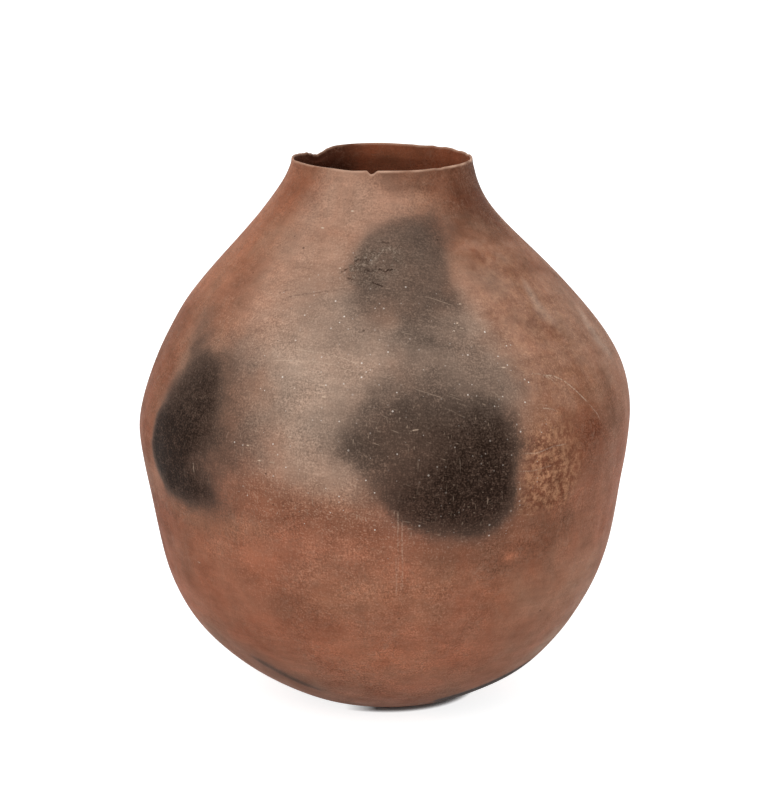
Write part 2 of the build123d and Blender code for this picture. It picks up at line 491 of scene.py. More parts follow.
# Patches of fired colour, among them painted shade low on the right and a painted reflection on the right
# shoulder, laid on in order: colour, strength, fade in mm, and an outline with corners as outline_mask
# takes them
PATCHES = [
    # left flank, neck and upper slope
    (RUST, 0.4, 20, [(-72, 465, 30), (-66, 385), (-52, 380), (-44, 415), (-50, 460, 25)]),
    (ROSY_TAN, 0.75, 40, [(-100, 560), (-100, 270), (-75, 230), (-64, 300, 25), (-66, 380, 25),
        (-62, 440, 30), (-30, 560)]),
    (TAN, 0.95, 25, [(-41, 545), (-46, 490), (-45, 440), (-42, 380), (-30, 330, 30), (-10, 440, 30),
        (14, 490, 20), (22, 512, 20), (0, 545, 20)]),
    (RUST, 0.55, 20, [(-95, 400), (-95, 180), (-66, 180, 30), (-67, 300, 8), (-66, 380, 12),
        (-72, 410, 16)]),
    (BROWN, 0.25, 10, [(-56, 482), (-55, 452), (-36, 450, 12), (-36, 478, 12)]),
    (BROWN, 0.25, 8, [(-27, 494), (-27, 476), (-14, 476), (-13, 492)]),
    # ash haze, and the buff under the smoke veil
    (BUFF, 0.8, 30, [(-35, 410), (-34, 350), (-28, 300, 24), (-18, 284, 16), (-5, 284, 16),
        (0, 330, 25), (8, 400), (-6, 450)]),
    (BUFF, 0.35, 20, [(-28, 385, 25), (-26, 335), (-18, 318), (-11, 340), (-13, 385, 25)]),
    (TAN, 0.35, 14, [(-24, 322), (-22, 290, 12), (-8, 284, 12), (-6, 312)]),
    (BUFF, 0.8, 25, [(0, 420, 20), (0, 340), (28, 330), (38, 345, 16), (36, 385, 16), (30, 430, 14)]),
    (BUFF, 0.5, 10, [(30, 500), (8, 496), (-8, 482), (-10, 450, 12), (4, 420, 14), (22, 420, 12)]),
    (RUST, 0.34, 12, [(-46, 276), (-40, 256), (-14, 252), (-2, 244), (-3, 262), (-14, 276),
        (-30, 284)]),
    # right shoulder
    (BROWN, 0.7, 30, [(26, 506, 12), (29, 470, 16), (38, 330), (80, 320, 40), (100, 500, 50),
        (40, 520)]),
    (TAN, 0.65, 20, [(26, 452, 12), (25, 430, 10), (33, 400, 16), (36, 345), (45, 355), (47, 420),
        (44, 446, 14), (34, 456, 14)]),
    (TAN, 0.3, 20, [(57, 420), (60, 370), (75, 380, 25), (70, 450, 25)]),
    # two pale streaks of painted reflection, the softbox's sheen on the burnished shoulder, laid on in
    # buff
    (BUFF, 0.65, 5, [(57, 437), (54, 420), (52, 402), (55, 394), (59, 396), (57, 410), (59, 430)]),
    (BUFF, 0.65, 6, [(77, 396), (72, 382), (71, 368), (75, 352), (79, 356), (76, 370), (79, 392)]),
    (RUST, 0.18, 8, [(42, 434), (41, 410), (44, 388), (51, 392), (50, 424)]),
    (RUST, 0.35, 8, [(40, 478), (39, 458), (45, 454), (49, 468)]),
    (TAN, 0.4, 8, [(36, 452), (37, 430), (49, 428), (51, 450)]),
    (TAN, 0.35, 8, [(36, 418), (37, 394), (52, 392), (54, 414)]),
    (BUFF, 0.25, 8, [(25, 442), (26, 414), (33, 392, 10), (36, 408), (31, 440)]),
    (ORANGE, 0.35, 10, [(46, 358), (47, 334), (60, 328), (63, 350)]),
    (UMBER, 0.28, 8, [(57, 398), (57, 376), (66, 374), (68, 394)]),
    (TAN, 0.3, 12, [(56, 430), (56, 395), (58, 345, 14), (80, 338, 14), (88, 390, 20), (80, 428, 16)]),
    (RUST, 0.2, 12, [(33, 354, 10), (35, 312), (48, 312), (50, 344)]),
    (UMBER, 0.26, 8, [(38, 496, 10), (40, 472), (48, 464), (53, 478), (52, 494, 10)]),
    # flaky patch beside the main smoke mark, and the redder clay beyond it
    (ORANGE, 0.5, 18, [(31, 345), (30, 300, 12), (30, 262, 12), (44, 258, 14), (49, 300, 14),
        (46, 345)]),
    (RUST, 0.95, 22, [(46, 336, 16), (47, 298, 20), (57, 288), (64, 315), (58, 345)]),
    (UMBER, 0.25, 16, [(36, 330), (38, 262), (64, 250, 20), (68, 320), (52, 336)]),
    (EARTH, 0.35, 12, [(62, 322, 10), (61, 268), (72, 262, 14), (80, 300, 14), (74, 326)]),
    (ORANGE, 0.22, 12, [(44, 360, 10), (47, 318), (64, 316), (64, 356)]),
    # lower body
    (EARTH, 0.65, 20, [(10, 246), (13, 212), (34, 208, 24), (50, 226, 24), (48, 268, 24), (32, 265)]),
    (BROWN, 0.35, 50, [(24, 250, 40), (32, 60), (70, 40), (95, 200), (80, 270, 40)]),
    (BROWN, 0.37, 30, [(-65, 145), (-50, 125, 25), (-20, 92), (30, 92), (60, 60), (0, 0, 40),
        (-60, 40, 40)]),
    (EARTH, 0.35, 25, [(-66, 150), (-46, 140), (-28, 110, 22), (-20, 70), (-60, 60, 30)]),
    (EARTH, 0.45, 20, [(-28, 198), (-29, 165), (-18, 160), (-12, 180), (-18, 198)]),
    (EMBER, 0.75, 26, [(-16, 166), (-12, 115), (12, 112), (14, 150), (0, 168)]),
    (EMBER, 0.25, 20, [(-54, 240), (-52, 205, 24), (-32, 200, 26), (-28, 235, 18), (-40, 246, 16)]),
    (ORANGE, 0.45, 20, [(-18, 225), (-16, 178), (14, 174), (16, 220)]),
    (ORANGE, 0.4, 20, [(28, 212), (28, 168), (64, 170, 24), (64, 212, 24)]),
    (TAN, 0.42, 24, [(34, 206), (37, 118), (64, 100, 18), (78, 120), (72, 222), (54, 222, 20)]),
    (EARTH, 0.3, 8, [(-8, 258), (-8, 238), (5, 234), (6, 247)]),
    (EMBER, 0.95, 2.5, [(29.2, 228), (29, 222), (31, 221), (33.4, 224), (32, 228)]),
    (TAN, 0.5, 10, [(54, 142), (55, 106, 6), (62, 106, 6), (72, 110), (72, 142, 12)]),
    (BUFF, 0.3, 6, [(55, 138, 10), (57, 108), (64, 107), (72, 112, 8), (70, 140, 12)]),
    (ORANGE, 0.3, 10, [(15, 216), (15, 199), (26, 197), (26, 214)]),
    (EARTH, 0.25, 10, [(36, 216), (36, 196), (46, 196), (46, 216)]),
    (TAN, 0.4, 14, [(-72, 160), (-70, 112), (-54, 106, 12), (-53, 150, 12)]),
    (EARTH, 0.22, 12, [(-36, 218), (-36, 194), (-25, 194), (-25, 216)]),
    (EARTH, 0.25, 10, [(14, 198), (14, 174), (25, 172), (26, 196)]),
    (EARTH, 0.3, 16, [(-68, 250), (-66, 180, 20), (-48, 172, 18), (-43, 198, 18), (-52, 250)]),
    (RUST, 0.3, 14, [(-68, 262, 12), (-66, 232), (-44, 230), (-34, 250), (-40, 266, 12)]),
    (TAN, 0.22, 30, [(-66, 140), (-20, 130), (30, 130), (72, 120), (60, 20), (-60, 20)]),
    # painted shade on the lower right, where the bowl turns under away from the softbox
    (UMBER, 0.5, 30, [(22, 62, 14), (45, 78, 10), (66, 94, 7), (95, 100), (60, 10), (20, 30, 20)]),
    (ORANGE, 0.36, 8, [(-62, 256), (-60, 238), (-36, 234), (-26, 246, 10), (-32, 258)]),
    # neck
    (RUST, 0.35, 20, [(-78, 550), (-74, 488), (-54, 486), (-36, 498, 14), (-32, 550, 14)]),
    (UMBER, 0.95, 20, [(38, 560, 32), (38, 506, 28), (46, 494), (60, 478), (85, 470, 24),
        (100, 560, 30)]),
    (UMBER, 0.58, 10, [(-8, 560, 16), (-2, 524, 14), (18, 519), (40, 514, 12), (40, 560)]),
    (UMBER, 0.25, 14, [(-70, 560), (-66, 524), (-50, 522, 12), (-46, 560)]),
    # far side
    (TAN, 0.8, 40, [(-170, 540), (-178, 420), (-150, 330), (-118, 370), (-104, 540)]),
    (BROWN, 0.7, 40, [(100, 540), (104, 380), (130, 310), (160, 400), (170, 540)]),
    (BUFF, 0.7, 30, [(112, 440), (108, 360), (124, 320, 25), (146, 340), (140, 430)]),
    (ORANGE, 0.6, 30, [(178, 330), (182, 260, 20), (206, 250, 24), (222, 290), (206, 340)]),
    (EMBER, 0.5, 40, [(-178, 220, 30), (-176, 120), (-130, 110), (-122, 210), (-150, 240, 30)]),
    (EARTH, 0.6, 40, [(110, 160), (120, 40), (170, 40), (175, 130)]),
    (RUST, 0.5, 24, [(108, 270), (112, 220), (140, 215), (138, 262)]),
    (UMBER, 0.5, 16, [(-168, 560), (-164, 516, 14), (-128, 520, 14), (-124, 560)]),
]
# Smoke marks, and painted shade laid on as one: how dense each is, its fade and its outline
SMOKE_AND_SHADE = [
    # left mark, from its veil to its core, and the smear above it
    (0.35, 12, [(-56, 390), (-61.5, 372, 8), (-65, 350, 9), (-68.5, 310, 8), (-68.5, 282, 8),
        (-63, 258, 9), (-51, 248, 10), (-38, 253), (-35, 268, 16), (-38, 290, 22), (-39, 320, 22),
        (-41, 345, 18), (-44, 368, 14), (-50, 380)]),
    (0.45, 8, [(-49, 378, 10), (-58, 370, 7), (-62, 350), (-66, 320), (-67.5, 292), (-64, 266),
        (-55, 255), (-47, 256), (-42.5, 265, 9), (-44, 279, 10), (-47, 293, 12), (-41, 318, 14),
        (-42.5, 347, 14), (-45, 368, 12)]),
    (0.6, 8, [(-52, 371, 10), (-57, 356, 9), (-60.5, 338, 9), (-65.5, 316), (-66.5, 290), (-63, 270),
        (-55, 260), (-48, 261), (-43.5, 268), (-48.5, 278, 9), (-52, 290, 10), (-46.5, 310, 12),
        (-45, 327, 12), (-46.5, 354, 12)]),
    (0.85, 10, [(-63, 310), (-65, 290, 9), (-61, 272, 9), (-54, 265, 9), (-50, 270, 9), (-52, 285),
        (-50.5, 300), (-48, 316), (-54, 320)]),
    (0.92, 6, [(-65.5, 322), (-67.6, 294), (-65, 268, 7), (-56, 260, 8), (-53, 285, 12),
        (-54, 322, 12)]),
    (0.24, 8, [(-52, 304), (-54, 288), (-47, 277), (-40, 280, 10), (-39, 300, 12)]),
    (0.34, 8, [(-53, 317), (-47, 316), (-45.5, 331), (-48.5, 341), (-52, 331)]),
    (0.14, 12, [(-66, 262), (-64, 234, 16), (-44, 230, 16), (-32, 250, 14), (-34, 272, 14),
        (-50, 266)]),
    (0.35, 10, [(-66, 412, 14), (-65.5, 370), (-58, 358), (-56.5, 392, 12)]),
    # main mark, from its veil to its core
    (0.38, 12, [(34.5, 345, 14), (33.5, 320), (32, 290, 11), (31, 262, 10), (28.5, 245, 9),
        (20, 238, 9), (12.5, 245, 9), (3, 253), (-4, 271, 14), (-6, 295), (-11, 312, 10), (-10.5, 330),
        (-5, 348, 14), (4, 361, 18), (14, 363, 18), (27, 352, 16)]),
    (0.38, 9, [(32, 338, 10), (31, 315), (29.8, 285), (29.4, 262), (27, 248, 8), (20, 243, 8),
        (12, 247.5, 8), (5.5, 256), (0.5, 270, 10), (-2, 290, 11), (-5, 307, 11), (-7.5, 320, 10),
        (-4.5, 335, 11), (2, 345, 14), (10, 353, 15), (20, 343, 13), (28, 338, 11)]),
    (0.54, 8, [(27.8, 333, 11), (28.4, 312), (28.4, 285), (27.8, 263), (23, 251), (16, 251.5),
        (8.8, 256), (4, 268, 10), (2, 283, 10), (8.5, 300, 14), (9, 318, 16), (12, 334, 14),
        (20, 337, 12)]),
    (0.6, 12, [(26, 322), (27.5, 298, 8), (28, 280, 8), (25.5, 266, 9), (17, 259, 9), (10, 261, 10),
        (8, 272, 10), (12.5, 287), (15, 305), (18, 322)]),
    (0.12, 14, [(-24, 334), (-24, 314), (-10, 306, 12), (-8, 326, 12), (-14, 338)]),
    (0.17, 12, [(-3, 352), (-4, 338), (4, 326, 14), (13, 314), (15, 328), (4, 346)]),
    # upper mark, from its veil to its darkest corner
    (0.3, 8, [(33, 510), (20, 510), (9, 506), (-2, 501), (-8, 491, 9), (-12, 473, 9), (-14, 455, 9),
        (-11, 438, 16), (-11, 420, 20), (-8, 402, 24), (4, 390, 26), (20, 396, 20), (28, 416, 12),
        (27.5, 432), (27.5, 447, 7), (30, 465), (34, 478, 10), (40, 492, 12)]),
    (0.26, 6, [(30, 503), (18, 503), (8, 498), (0, 493), (-6, 484), (-8, 469, 7), (-9, 455, 8),
        (-5, 438, 14), (-2, 421, 18), (6, 408, 20), (16, 406, 18), (23, 418, 12), (24, 435, 8),
        (24, 450, 7), (27, 468, 8), (32, 486, 8)]),
    (0.07, 8, [(29, 497, 6), (18, 496, 6), (8, 488), (4, 478, 12), (4, 455, 14), (6, 434, 18),
        (14, 417, 18), (21, 422, 14), (21.5, 440), (22.5, 458), (26, 475)]),
    (0.12, 6, [(27, 493), (18, 493), (14.5, 482, 8), (17, 464, 10), (22, 474, 10), (27, 485, 8)]),
    # veil between them, and a faint one to its left
    (0.31, 14, [(9, 404), (1, 394), (-2, 370, 16), (0, 350, 18), (18, 342, 20), (35, 343, 16),
        (34, 374), (27, 381, 12), (17, 394)]),
    (0.13, 10, [(-2, 374), (3, 355), (20, 351), (30, 356), (28, 373), (14, 378)]),
    (0.16, 10, [(4, 420), (7, 400), (16, 392), (24, 391), (25, 406), (18, 420)]),
    (0.2, 10, [(-18, 458), (-26, 440, 18), (-32, 422, 22), (-16, 384, 22), (-2, 382, 18), (0, 430, 20),
        (-2, 455, 12), (-9, 462)]),
    # faint veils beside the three marks
    (0.35, 20, [(-48, 396, 16), (-39, 388), (-29, 366, 24), (-27, 340), (-24, 306, 18), (-33, 276, 16),
        (-44, 300), (-47, 360)]),
    (0.26, 18, [(-17, 325, 16), (-14, 348), (-7, 364), (-1, 364), (0, 340), (-2, 305), (-9, 295, 14)]),
    (0.13, 14, [(24, 474, 8), (22, 440, 10), (22, 410, 12), (20, 385), (26, 358, 16), (36, 346),
        (34, 380), (31, 415, 12), (28, 450, 10)]),
    # streak low on the left
    (0.56, 6, [(-46, 122), (-41, 117.5), (-37, 112), (-33, 102), (-29.5, 94), (-25, 84), (-27, 84, 5),
        (-34, 94, 5), (-39, 104, 5), (-43, 113, 5)]),
    (0.18, 8, [(-52, 136), (-42, 134), (-31, 120), (-21, 96), (-26, 78), (-44, 98)]),
    # painted shade along the lower right edge of the bowl, where it turns under away from the softbox,
    # laid on as a dense smoke mark
    (0.92, 4, [(20, 57, 6), (30, 69), (38.5, 80.5), (44, 88), (49.5, 96), (55, 99), (64, 101, 6),
        (80, 100, 12), (80, 50, 20), (40, 30, 16)]),
    # far side
    (0.9, 24, [(150, 350), (172, 335, 12), (178, 292, 9), (162, 266, 9), (142, 280, 14), (134, 325)]),
    (0.4, 30, [(140, 380), (170, 400, 24), (178, 350, 24), (150, 320)]),
    (0.66, 20, [(-130, 430), (-112, 410, 10), (-106, 376, 9), (-118, 352, 12), (-142, 370, 26)]),
    (0.8, 22, [(-150, 205), (-132, 186, 10), (-126, 156, 9), (-144, 132, 12), (-168, 152, 24)]),
    (0.45, 12, [(96, 300, 20), (104, 262), (100, 228), (88, 232, 16), (86, 280, 22)]),
    (0.5, 14, [(150, 120), (168, 104, 10), (164, 78, 12), (146, 84)]),
]
# Where the skin has flaked into light scales, and how strongly
FLAKING = [
    (0.9, 8, [(31, 322, 14), (30.5, 300), (31, 262), (38, 256, 10), (47, 262, 10), (48, 290, 12),
        (43, 322, 16)]),
    (0.25, 20, [(31, 400), (33, 330, 16), (50, 320, 16), (66, 350), (70, 440, 24), (46, 480),
        (34, 450, 16)]),
    (0.4, 16, [(178, 320), (184, 262, 12), (206, 256, 14), (214, 300), (200, 330, 18)]),
]
# Where the burnished skin is open, and how far, so that light flecks, grit and scratches show
GRITTY = [
    (0.5, 10, [(-16, 400, 30), (-17, 330, 22), (-5, 272, 14), (8, 242), (30, 240, 8), (36, 270),
        (37, 340, 18), (34, 410, 18), (12, 430, 20)]),
    (0.78, 30, [(-40, 430), (-38, 260, 16), (-20, 250), (30, 230, 20), (37, 260, 12), (39, 400, 20),
        (20, 470, 40), (-20, 500)]),
    (0.2, 14, [(36, 420), (36, 250), (80, 250, 20), (80, 420, 20)]),
    (0.35, 16, [(-62, 430, 40), (-68, 260), (-38, 250), (-40, 420, 30)]),
    (0.3, 30, [(-40, 240, 20), (-36, 180), (10, 150), (30, 180), (12, 240, 20)]),
    (0.6, 40, [(110, 420), (110, 240, 20), (180, 230, 20), (230, 260, 20), (236, 400), (180, 450)]),
]
# Single scratches that show: how light each is, then its run as angle in degrees and mm up the wall
SCRATCHES = [
    (0.66, [(41, 360), (44.5, 358.2), (47.6, 352.4), (49.8, 345.5), (52.1, 337.2), (54.3, 329.6)]),
    (0.34, [(53.4, 332.6), (56.6, 321.2), (57.9, 314.2)]),
    (0.5, [(37.4, 336.8), (40.2, 334.9), (41.7, 332.7), (42.7, 330.9)]),
    (0.3, [(38, 362), (40.3, 361.7), (43.8, 355.2), (44.6, 350.1)]),
    (0.4, [(31, 306), (35, 304.4), (40, 307), (44, 306.6)]),
    (0.3, [(30, 293), (34, 291.6), (40, 293)]),
    (0.5, [(-25, 387), (-22.9, 386.3), (-16.6, 385.4), (-10.2, 381.6), (-6.1, 376.5)]),
    (0.4, [(-20, 379), (-13, 376.6), (-7, 371)]),
    (0.35, [(-30, 376), (-24, 378), (-18, 375.8)]),
    (0.28, [(2.9, 270), (3, 250), (3.1, 236)]),
    (0.26, [(3.9, 262), (4, 240), (4.2, 222), (4.2, 204)]),
    (0.24, [(2.6, 232), (2.8, 215), (2.8, 200)]),
    (0.5, [(-48.4, 290.6), (-48.3, 286), (-48.2, 281)]),
    (0.7, [(4.4, 328.5), (6, 329.3), (7.4, 329.8)]),
    # two grains on the neck, which are stronger so that they don't break up as a scratch does
    (3, [(-15, 505.5), (-13.2, 505.3)]),
    (3, [(-28.4, 490.3), (-26.4, 490)]),
]
# Smaller grains of temper that show one by one, as angle in degrees and mm up the wall
GRAINS = [
    (-22.3, 321.2), (-32.4, 311.3), (22.5, 408.5), (23.2, 404.3), (20.6, 402.3), (-15.1, 457),
    (25.8, 424), (30.8, 370.5), (-15.3, 352), (-28.8, 301.8), (-25.8, 301.5), (-51.7, 207),
]
SCRATCHES += [(2.5, [(at - 0.45, up), (at + 0.45, up)]) for at, up in GRAINS]
# Where the fire left the clay blotched, brown on tan, and the painted shade inside the neck, on its left
BLOTCHED = [
    (28, 470, 12), (30, 380, 14), (34, 330, 14), (62, 326, 20), (84, 360, 24), (84, 470, 24),
    (44, 500, 20),
]
INSIDE_SHADE_OUTLINE = [
    (-163, 525, 38), (-160, 470, 38), (-100, 460, 24), (-70, 490, 14), (-80, 560, 10), (-150, 570, 30),
]
# Ranges over which the clay changes, in mm up the wall
PALER_OVER = (245, 330)  # it grows paler
FAINTER_OVER = (380, 450)  # the strokes grow fainter, on the slope up to the neck
STRONGER_OVER = (485, 525)  # they come back a little, on the neck
BOWL_OVER = (250, 195)  # they grow fainter going down, on the sides of the bowl
LINING_OVER = (0.55, 0.95)  # share of the wall's depth over which the outside turns into the lining
WORN_SIDE = np.radians(42)  # where the lip is worn most


def blend(colour, tone, share):
    """Linear colours with a tone mixed into them, by a share from 0 to 1 at each place."""
    return colour + (linear(tone) - colour) * share[:, None]


def fire_marks(points, angle, up, depth):
    """Linear colour of the fired clay at each place, then what changes its skin there.

    Clay grows paler up the wall, and each patch mixes its colour over what lies below it; some patches are
    painted shade and painted reflection. The lining has painted light deeper in and painted shade on its
    left.
    The smoke marks, with a painted shade laid on as one, add up as layers that each let less of the clay
    through, and so do the flaked and the gritty places.
    The strokes show less high up, on the sides of the bowl, where it is blotched and inside. The lip is
    worn where the wall turns over. These, and how far the skin has spalled, are shares from 0 to 1. The
    cracks and the scratches follow, each as a distance to the nearest and its strength.
    """
    stray = 0.14 * ripples(points, 40, seed=12) + 0.05 * ripples(points, 14, seed=13)
    upper = smooth_step(*PALER_OVER, up + 16 * ripples(points, 90, seed=15))
    colour = blend(linear(RED_CLAY), UPPER_CLAY, upper)
    for patch, strength, fade, corners in PATCHES:
        colour = blend(colour, patch, strength * outline_mask(angle, up, corners, stray, fade))
    blotches = ripples(points, 30, seed=16) + 0.6 * ripples(points, 13, seed=17)
    blotches += 0.35 * ripples(points, 6, seed=18)
    blotched = outline_mask(angle, up, BLOTCHED, stray)
    colour = blend(colour, UMBER, 0.3 * blotched * smooth_step(0, 2, blotches))
    colour = blend(colour, TAN, 0.35 * blotched * smooth_step(0, 2, -blotches))
    inner = smooth_step(*LINING_OVER, depth)
    # painted light: the lining grows lighter deeper inside the mouth, and painted shade darkens it on the
    # left
    lining = blend(linear(INSIDE_CLAY), INSIDE_PAINTED_LIGHT, smooth_step(LIP_UP - 4, LIP_UP - 40, up))
    lining = blend(lining, INSIDE_SHADE, 0.85 * outline_mask(angle, up, INSIDE_SHADE_OUTLINE, stray))
    colour += (lining - colour) * inner[:, None]
    layers = []
    for marks in (SMOKE_AND_SHADE, FLAKING, GRITTY):
        clear = np.ones(len(points))
        for density, fade, corners in marks:
            clear *= 1 - density * outline_mask(angle, up, corners, stray, fade)
        layers.append((1 - clear) * (1 - inner))
    worn_most = 0.55 + 0.45 * smooth_step(0.2, 0.8, np.cos(angle - WORN_SIDE))
    wear = smooth_step(LIP_UP + 0.2, LIP_UP + 1.5, up) * worn_most
    wear *= 0.75 + 0.25 * ripples(points, 16, seed=14)
    scales = np.where(depth == 0, scale_share(angle, up), 0)
    crack_off, crack = nearest_line(angle, up, CRACKS)
    scratch_off, scratch = nearest_line(angle, up, SCRATCHES)
    crack, scratch = crack * (depth == 0), scratch * (depth == 0)
    bowl_side = smooth_step(*BOWL_OVER, up) * smooth_step(0.95, 0.8, np.cos(angle))
    coarse = 1 - 0.32 * smooth_step(*FAINTER_OVER, up) + 0.06 * smooth_step(*STRONGER_OVER, up)
    coarse *= (1 - 0.6 * bowl_side) * (1 - 0.3 * blotched) * (1 - 0.4 * inner)
    return colour, *layers, coarse, wear.clip(0, 1), scales, crack_off, crack, scratch_off, scratch


# Burnished earthenware: clay with sand in it, rubbed with a pebble when it was leather hard, and fired low
# without a glaze. To the eye it is satin and uneven, with fine strokes, pale grit and no mirror
clay = bpy.data.materials.new("burnished_earthenware")
clay.use_nodes = True
clay_tree = clay.node_tree
clay_shader = clay_tree.nodes["Principled BSDF"]

# Which setting of a node its mode is
MODES = {"Math": "operation", "VectorMath": "operation", "Mix": "data_type", "Mapping": "vector_type"}


def add_node(kind, inputs, tree=clay_tree, **settings):
    """Adds a node, fills its inputs with values or links, and gives its main output.

    Inputs in a list go to the sockets in use, in order, and those in a dict to the sockets that it
    names. The kind may have its mode after a space, such as its operation. The main output is the first
    one in use.
    """
    kind, *mode = kind.split()
    node = tree.nodes.new("ShaderNode" + kind)
    for name in mode:
        setattr(node, MODES[kind], name)
    for name, value in settings.items():
        setattr(node, name, value)
    if isinstance(inputs, dict):
        filled = [(node.inputs[name], value) for name, value in inputs.items()]
    else:
        filled = zip([socket for socket in node.inputs if socket.enabled], inputs)
    for socket, value in filled:
        if isinstance(value, bpy.types.NodeSocket):
            tree.links.new(value, socket)
        else:
            socket.default_value = value
    return next(output for output in node.outputs if output.enabled)


def pattern_scale(size):
    """Scale of a pattern on Object coordinates whose features are about size mm."""
    return 1 / (size * MM)


where = add_node("TexCoord", {}).node.outputs["Object"]
fired = add_node("Attribute", {}, attribute_name="fired_colour")
SKIN_LAYERS = ("smoke_and_shade", "flaking", "grit", "coarse", "lip_wear", "spall")
SKIN_LAYERS += ("crack_off", "crack", "scratch_off", "scratch")
smoke_and_shade, flaking, grit, coarse, lip_wear, spall, crack_off, crack, scratch_off, scratch = (
    add_node("Attribute", {}, attribute_name=layer).node.outputs["Fac"] for layer in SKIN_LAYERS
)


def streaks(turn, stretch, size, detail):
    """Noise about size mm across, drawn out along the axes by the stretch and turned about Y."""
    drawn_out = add_node(
        "Mapping TEXTURE", {"Vector": where, "Rotation": (0, turn, 0), "Scale": stretch}
    )
    return add_node(
        "TexNoise",
        {"Vector": drawn_out, "Scale": pattern_scale(size), "Detail": detail, "Roughness": 0.6},
    )


# Cloudy mottling of the burnished skin, lighter and darker, and redder and browner
mottle = add_node(
    "TexNoise",
    {"Vector": where, "Scale": pattern_scale(22), "Detail": 7, "Roughness": 0.62, "Distortion": 0.3},
)
mottle_light = add_node("MapRange", [mottle, 0.3, 0.7, 0.81, 1.19])
hue_cloud = add_node(
    "TexNoise",
    {"Vector": where, "Scale": pattern_scale(34), "Detail": 5, "Roughness": 0.6, "Distortion": 0.5},
)
hue_share = add_node("MapRange", [hue_cloud, 0.32, 0.68])
hue_tint = add_node("Mix RGBA", [hue_share, (0.95, 1.02, 1.04, 1), (1.07, 0.97, 0.92, 1)])
calm = add_node("MapRange", [grit, 0, 1, 1.0, 0.2])
calm_tint = add_node("Mix RGBA", [calm, (1.01, 1.0, 0.98, 1), hue_tint])
tinted = add_node("VectorMath MULTIPLY", [fired, calm_tint])

# Scraping and burnishing left fine strokes that cross: most run round the jar, some up it. They are about
# 0.5 mm apart, drawn at 1.2 mm so that they show
strokes = streaks(0.08, (7, 7, 1), 1.2, 2)
upright_strokes = streaks(-0.07, (1, 1, 7), 1.2, 2)
grain = add_node(
    "TexNoise", {"Vector": where, "Scale": pattern_scale(1.3), "Detail": 1.5, "Roughness": 0.6}
)
crossed = add_node("Math ADD", [strokes, upright_strokes])
texture = add_node("Math MULTIPLY_ADD", [grain, 3.0, crossed])
texture_light = add_node("MapRange", [texture, 1.95, 3.27, -0.24, 0.38])
# The pebble went over some places more often than others, and left them smoother
polish = add_node(
    "TexNoise", {"Vector": where, "Scale": pattern_scale(24), "Detail": 3, "Roughness": 0.6}
)
rubbed = add_node("MapRange", [polish, 0.36, 0.64, 1.3, 0.4])
roughened = add_node("Math MULTIPLY", [rubbed, coarse])
texture_shown = add_node("Math MULTIPLY_ADD", [texture_light, roughened, 1.0])
# Longer swipes of the scraper, about 4 mm wide, run round the jar
swipes = streaks(0.04, (10, 10, 1), 4, 3)
swipe_light = add_node("MapRange", [swipes, 0.35, 0.65, 0.94, 1.06])
swiped = add_node("Math MULTIPLY", [mottle_light, swipe_light])
light = add_node("Math MULTIPLY", [swiped, texture_shown])
mottled = add_node("VectorMath SCALE", [tinted, light])

# Pale film of fine clay that the pebble left in small clouds and in threads
film = add_node(
    "TexNoise",
    {"Vector": where, "Scale": pattern_scale(6), "Detail": 6, "Roughness": 0.75, "Distortion": 0.4},
)
film_share = add_node("MapRange", [film, 0.5, 0.75, 0, 0.5])
thread_field = add_node(
    "TexNoise",
    {"Vector": where, "Scale": pattern_scale(20), "Detail": 5, "Roughness": 0.62, "Distortion": 1.0},
)
threads = add_node("Math COMPARE", [thread_field, 0.5, 0.008])
film_threads = add_node("Math MULTIPLY_ADD", [threads, 0.3, film_share])
film_rough = add_node("Math MULTIPLY", [film_threads, roughened])
film_shown = add_node("Math MULTIPLY", [film_rough, calm], use_clamp=True)
filmed = add_node("Mix RGBA", [film_shown, mottled, linear("#b08a74")])

# Light flecks where the skin is open
flecks = add_node("MapRange", [texture, 2.7, 3.3])
fleck_share = add_node("Math MULTIPLY", [flecks, grit])
fleck_mix = add_node("Math MULTIPLY", [fleck_share, 0.6])
flecked = add_node("Mix RGBA", [fleck_mix, filmed, linear("#c9ae99")])

# Scratches from use, light and hair thin: some run up the wall and some slant across it
upright_scratches = streaks(0.03, (1, 1, 60), 1.2, 0)
slant_scratches = streaks(-1.25, (1, 1, 50), 1.2, 0)
deepest = add_node("Math MAXIMUM", [upright_scratches, slant_scratches])
scratch_share = add_node("MapRange", [deepest, 0.76, 0.86, 0, 0.33])
scratch_seen = add_node("Math MULTIPLY", [scratch_share, grit])
scratch_far = add_node("Math ABSOLUTE", [scratch_off])
scratch_core = add_node("MapRange", [scratch_far, 0.15, 0.7, 1, 0])
scratch_broken = add_node("MapRange", [texture, 1.95, 2.7])
scratch_line = add_node("Math MULTIPLY", [scratch_core, scratch_broken])
scratch_light = add_node("Math MULTIPLY_ADD", [scratch_line, scratch, scratch_seen], use_clamp=True)

# Flakes: light scales where the burnished skin has come away, with darker clay between them
scales = add_node(
    "TexNoise", {"Vector": where, "Scale": pattern_scale(5), "Detail": 5, "Roughness": 0.7}
)
scale_light = add_node("MapRange", [scales, 0.44, 0.57])
scale_colour = add_node("Mix RGBA", [scale_light, linear("#774531"), linear("#bd8968")])
scale_grain = add_node("VectorMath SCALE", [scale_colour, light])
flake_share = add_node("Math MULTIPLY", [flaking, 0.8])
flaked = add_node("Mix RGBA", [flake_share, flecked, scale_grain])

